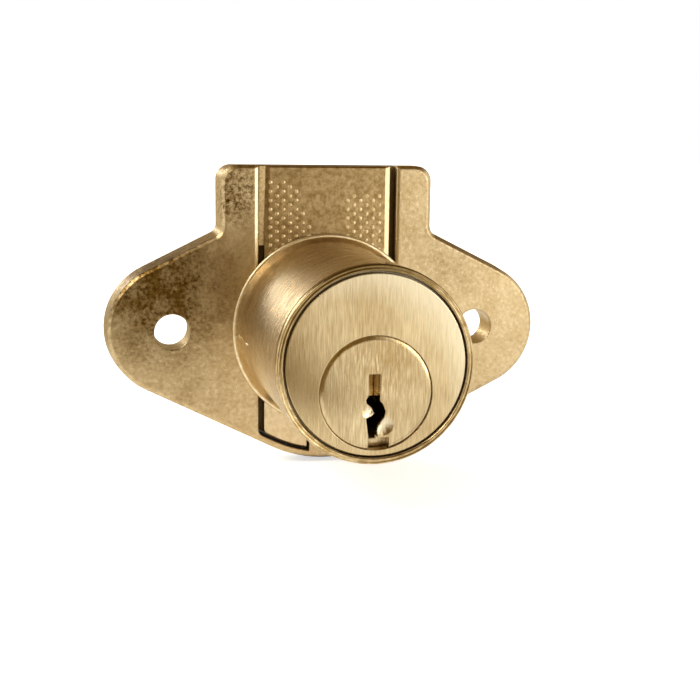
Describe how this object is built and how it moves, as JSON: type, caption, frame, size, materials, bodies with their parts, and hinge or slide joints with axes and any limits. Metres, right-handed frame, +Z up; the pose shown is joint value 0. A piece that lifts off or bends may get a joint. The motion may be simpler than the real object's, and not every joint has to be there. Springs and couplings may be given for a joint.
{
  "type": "drawer lock",
  "caption": "Pin tumbler deadbolt lock for a drawer: eared case with an off-centre plug in a round barrel, and a flat bolt that rises from the case as the plug turns.",
  "frame": {"origin": "on the barrel's axis, midway between the two screw holes, in the front face of the case that lies against the back of the drawer front", "axes": "-Y along the barrel towards the key, +X to the right as seen from the key's side and along the screw holes, +Z up in the direction the bolt is thrown"},
  "size_m": [0.0564, 0.0316, 0.0382],
  "materials": {
    "cast_brass": "tumbled casting, satin",
    "bolt_brass": "cast with raised dots, satin",
    "brushed_brass": "brushed face",
    "plug_brass": "brushed face",
    "cover_brass": "rolled sheet, satin",
    "rivet_brass": "peened",
    "screw_brass": "turned",
    "pin_brass": "turned",
    "pin_steel": "ground",
    "spring_steel": "drawn wire"
  },
  "bodies": {
    "case": {"lock_case": "cast_brass", "cylinder_body": "brushed_brass", "spring_cover": "pin_brass", "cylinder_pin": "pin_steel", "back_cover": "cover_brass", "cover_rivets": "rivet_brass", "pin_spring_1": "spring_steel", "pin_spring_2": "spring_steel", "pin_spring_3": "spring_steel", "pin_spring_4": "spring_steel", "pin_spring_5": "spring_steel"},
    "plug": {"plug": "plug_brass", "drive_cam": "pin_brass", "cam_screw": "screw_brass", "drive_pin": "pin_steel"},
    "bolt": {"bolt": "bolt_brass"},
    "key_pin_1": {"key_pin_1": "pin_brass"},
    "driver_pin_1": {"driver_pin_1": "pin_brass"},
    "key_pin_2": {"key_pin_2": "pin_brass"},
    "driver_pin_2": {"driver_pin_2": "pin_brass"},
    "key_pin_3": {"key_pin_3": "pin_brass"},
    "driver_pin_3": {"driver_pin_3": "pin_brass"},
    "key_pin_4": {"key_pin_4": "pin_brass"},
    "driver_pin_4": {"driver_pin_4": "pin_brass"},
    "key_pin_5": {"key_pin_5": "pin_brass"},
    "driver_pin_5": {"driver_pin_5": "pin_brass"}
  },
  "joints": [
    {"name": "plug_turn", "type": "hinge", "parent": "case", "child": "plug", "pos_m": [0, -0.0135, -0.00308], "axis": [0, 1, 0], "range_deg": [0, 90]},
    {"name": "bolt_slide", "type": "slide", "parent": "case", "child": "bolt", "axis": [0, 0, 1], "range_m": [0, 0.0067]},
    {"name": "key_pin_1_lift", "type": "slide", "parent": "plug", "child": "key_pin_1", "axis": [0, 0, 1], "range_m": [-0.00052, 0]},
    {"name": "driver_pin_1_lift", "type": "slide", "parent": "case", "child": "driver_pin_1", "axis": [0, 0, 1], "range_m": [-0.00052, 0], "deforming": ["pin_spring_1"]},
    {"name": "key_pin_2_lift", "type": "slide", "parent": "plug", "child": "key_pin_2", "axis": [0, 0, 1], "range_m": [-0.00092, 0]},
    {"name": "driver_pin_2_lift", "type": "slide", "parent": "case", "child": "driver_pin_2", "axis": [0, 0, 1], "range_m": [-0.00092, 0], "deforming": ["pin_spring_2"]},
    {"name": "key_pin_3_lift", "type": "slide", "parent": "plug", "child": "key_pin_3", "axis": [0, 0, 1], "range_m": [-0.00172, 0]},
    {"name": "driver_pin_3_lift", "type": "slide", "parent": "case", "child": "driver_pin_3", "axis": [0, 0, 1], "range_m": [-0.00172, 0], "deforming": ["pin_spring_3"]},
    {"name": "key_pin_4_lift", "type": "slide", "parent": "plug", "child": "key_pin_4", "axis": [0, 0, 1], "range_m": [-0.00092, 0]},
    {"name": "driver_pin_4_lift", "type": "slide", "parent": "case", "child": "driver_pin_4", "axis": [0, 0, 1], "range_m": [-0.00092, 0], "deforming": ["pin_spring_4"]},
    {"name": "key_pin_5_lift", "type": "slide", "parent": "plug", "child": "key_pin_5", "axis": [0, 0, 1], "range_m": [-0.00132, 0]},
    {"name": "driver_pin_5_lift", "type": "slide", "parent": "case", "child": "driver_pin_5", "axis": [0, 0, 1], "range_m": [-0.00132, 0], "deforming": ["pin_spring_5"]}
  ],
  "couplings": [
    {"joint": "bolt_slide", "follows": "plug_turn", "m_per_rad": 0.0042653},
    {"joint": "driver_pin_1_lift", "follows": "key_pin_1_lift", "ratio": 1},
    {"joint": "driver_pin_2_lift", "follows": "key_pin_2_lift", "ratio": 1},
    {"joint": "driver_pin_3_lift", "follows": "key_pin_3_lift", "ratio": 1},
    {"joint": "driver_pin_4_lift", "follows": "key_pin_4_lift", "ratio": 1},
    {"joint": "driver_pin_5_lift", "follows": "key_pin_5_lift", "ratio": 1}
  ]
}
